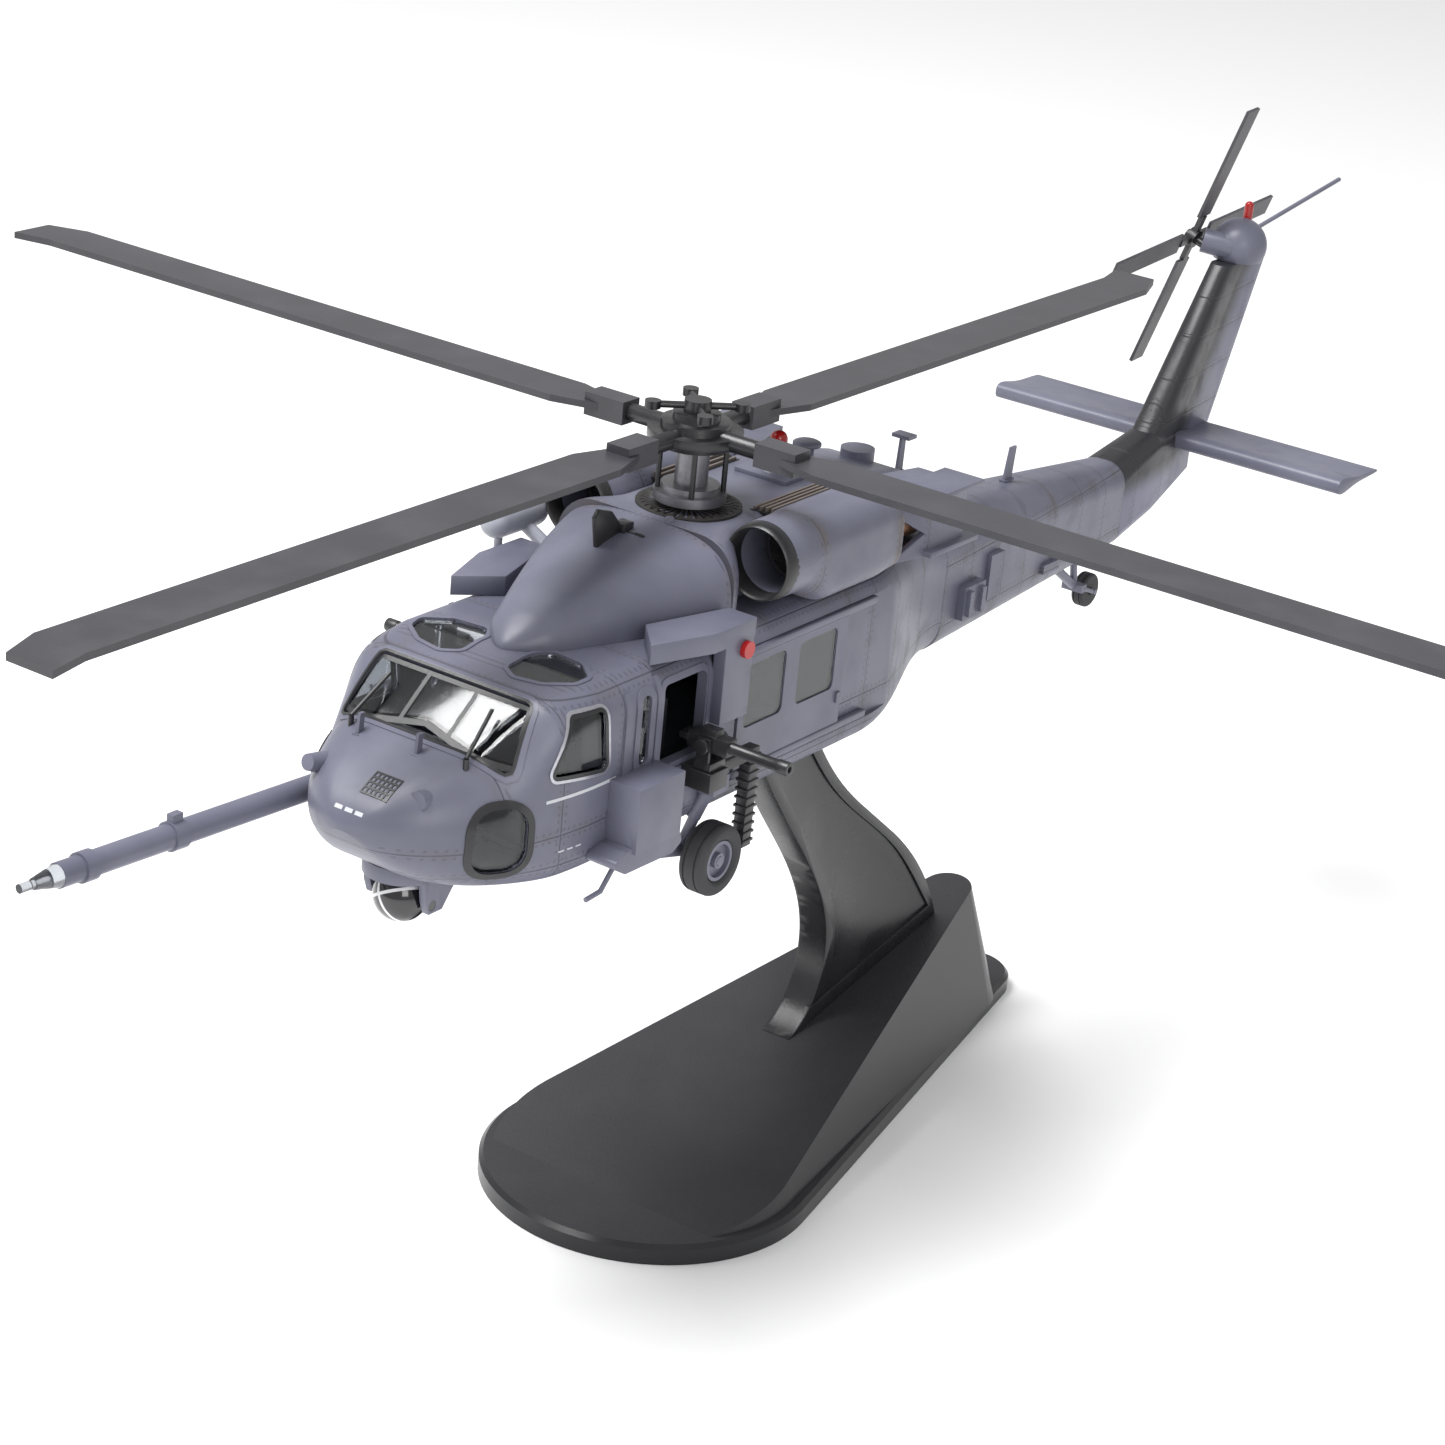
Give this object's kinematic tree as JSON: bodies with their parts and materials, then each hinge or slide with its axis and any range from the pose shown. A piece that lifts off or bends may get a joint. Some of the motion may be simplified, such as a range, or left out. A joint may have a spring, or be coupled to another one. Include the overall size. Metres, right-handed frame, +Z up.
{
  "type": "helicopter scale model",
  "caption": "Scale model of a twin-engined rescue helicopter with turning rotors, wheels, guns and sliding doors, held on a black display stand.",
  "frame": {"origin": "on the stand base's underside, straight below the main rotor mast", "axes": "+X to the helicopter's port side, +Y aft towards the tail, +Z up"},
  "size_m": [0.2272, 0.2904, 0.1303],
  "materials": {
    "airframe_grey": "satin blue-grey paint",
    "stand_black": "satin black",
    "screw_steel": "plain",
    "clear_plastic": "clear",
    "black_plastic": "satin black",
    "interior_grey": "matt dark grey",
    "copper_paint": "copper paint",
    "red_lens": "gloss red",
    "gun_black": "satin black",
    "gloss_black": "gloss black",
    "blade_dark": "satin dark grey",
    "tyre_rubber": "matt"
  },
  "bodies": {
    "stand": {"stand_base": "stand_black", "stand_arm": "stand_black", "stand_screws": "screw_steel"},
    "helicopter": {"aerials": "airframe_grey", "aft_fairing": "airframe_grey", "cabin_floor": "interior_grey", "cowl_port": "airframe_grey", "cowl_starboard": "airframe_grey", "deck_fairing": "airframe_grey", "door_rails": "airframe_grey", "exhaust_pipes": "copper_paint", "exhaust_port": "airframe_grey", "exhaust_starboard": "airframe_grey", "fuselage_port": "airframe_grey", "fuselage_starboard": "airframe_grey", "gear_struts": "airframe_grey", "gearbox_fairing": "airframe_grey", "gun_brackets": "gun_black", "hoist": "airframe_grey", "instrument_panel": "black_plastic", "intake_lips": "black_plastic", "lamps": "red_lens", "nose_fittings": "airframe_grey", "probe_nozzle": "clear_plastic", "probe_tube": "airframe_grey", "roof_windows": "clear_plastic", "rotor_deck": "airframe_grey", "seats": "interior_grey", "side_boxes": "airframe_grey", "side_windows": "clear_plastic", "stabilator": "airframe_grey", "tail_boom": "airframe_grey", "tail_fin": "airframe_grey", "tail_strut": "airframe_grey", "turret_yoke": "airframe_grey", "upper_fairings": "airframe_grey", "windscreen": "clear_plastic", "windscreen_frame": "black_plastic", "wipers": "black_plastic"},
    "main_rotor": {"rotor_mast": "airframe_grey", "rotor_hub": "black_plastic", "rotor_cap": "black_plastic", "pitch_links": "black_plastic", "rotor_blades": "blade_dark"},
    "tail_rotor": {"tail_rotor_hub": "black_plastic", "tail_rotor_blades": "blade_dark"},
    "port_wheel": {"wheel_hub_port": "airframe_grey", "tyre_port": "tyre_rubber"},
    "starboard_wheel": {"wheel_hub_starboard": "airframe_grey", "tyre_starboard": "tyre_rubber"},
    "tail_wheel": {"tail_wheel": "tyre_rubber"},
    "port_gun_mount": {"gun_mount_port": "gun_black"},
    "starboard_gun_mount": {"gun_mount_starboard": "gun_black"},
    "port_gun": {"gun_port": "gun_black"},
    "starboard_gun": {"gun_starboard": "gun_black"},
    "turret": {"turret_ball": "gloss_black"},
    "port_door": {"door_port": "airframe_grey", "door_windows_port": "clear_plastic"},
    "starboard_door": {"door_starboard": "airframe_grey", "door_windows_starboard": "clear_plastic"}
  },
  "joints": [
    {"name": "lift_off", "type": "slide", "parent": "stand", "child": "helicopter", "axis": [0, 0, 1], "range_m": [0, 0.012]},
    {"name": "main_rotor_spin", "type": "hinge", "parent": "helicopter", "child": "main_rotor", "pos_m": [0, 0, 0.1072], "axis": [0, 0, 1], "continuous": true},
    {"name": "tail_rotor_spin", "type": "hinge", "parent": "helicopter", "child": "tail_rotor", "pos_m": [-0.0057, 0.1392, 0.1083], "axis": [-0.9397, 0, 0.342], "continuous": true},
    {"name": "port_wheel_roll", "type": "hinge", "parent": "helicopter", "child": "port_wheel", "pos_m": [0.0189, -0.016, 0.0609], "axis": [1, 0, 0], "continuous": true},
    {"name": "starboard_wheel_roll", "type": "hinge", "parent": "helicopter", "child": "starboard_wheel", "pos_m": [-0.0189, -0.016, 0.0609], "axis": [1, 0, 0], "continuous": true},
    {"name": "tail_wheel_roll", "type": "hinge", "parent": "helicopter", "child": "tail_wheel", "pos_m": [0, 0.1086, 0.0594], "axis": [1, 0, 0], "continuous": true},
    {"name": "port_gun_traverse", "type": "hinge", "parent": "helicopter", "child": "port_gun_mount", "pos_m": [0.0196, -0.0193, 0.0735], "axis": [0, 0, 1], "range_deg": [-15, 15]},
    {"name": "port_gun_elevation", "type": "hinge", "parent": "port_gun_mount", "child": "port_gun", "pos_m": [0.0196, -0.0193, 0.0774], "axis": [0, 1, 0], "range_deg": [-12, 12]},
    {"name": "starboard_gun_traverse", "type": "hinge", "parent": "helicopter", "child": "starboard_gun_mount", "pos_m": [-0.0196, -0.0193, 0.0735], "axis": [0, 0, 1], "range_deg": [-15, 15]},
    {"name": "starboard_gun_elevation", "type": "hinge", "parent": "starboard_gun_mount", "child": "starboard_gun", "pos_m": [-0.0196, -0.0193, 0.0774], "axis": [0, 1, 0], "range_deg": [-12, 12]},
    {"name": "turret_tilt", "type": "hinge", "parent": "helicopter", "child": "turret", "pos_m": [0, -0.0518, 0.0614], "axis": [1, 0, 0], "range_deg": [-45, 45]},
    {"name": "port_door_slide", "type": "slide", "parent": "helicopter", "child": "port_door", "axis": [0, 1, 0], "range_m": [0, 0.018]},
    {"name": "starboard_door_slide", "type": "slide", "parent": "helicopter", "child": "starboard_door", "axis": [0, 1, 0], "range_m": [0, 0.018]}
  ]
}
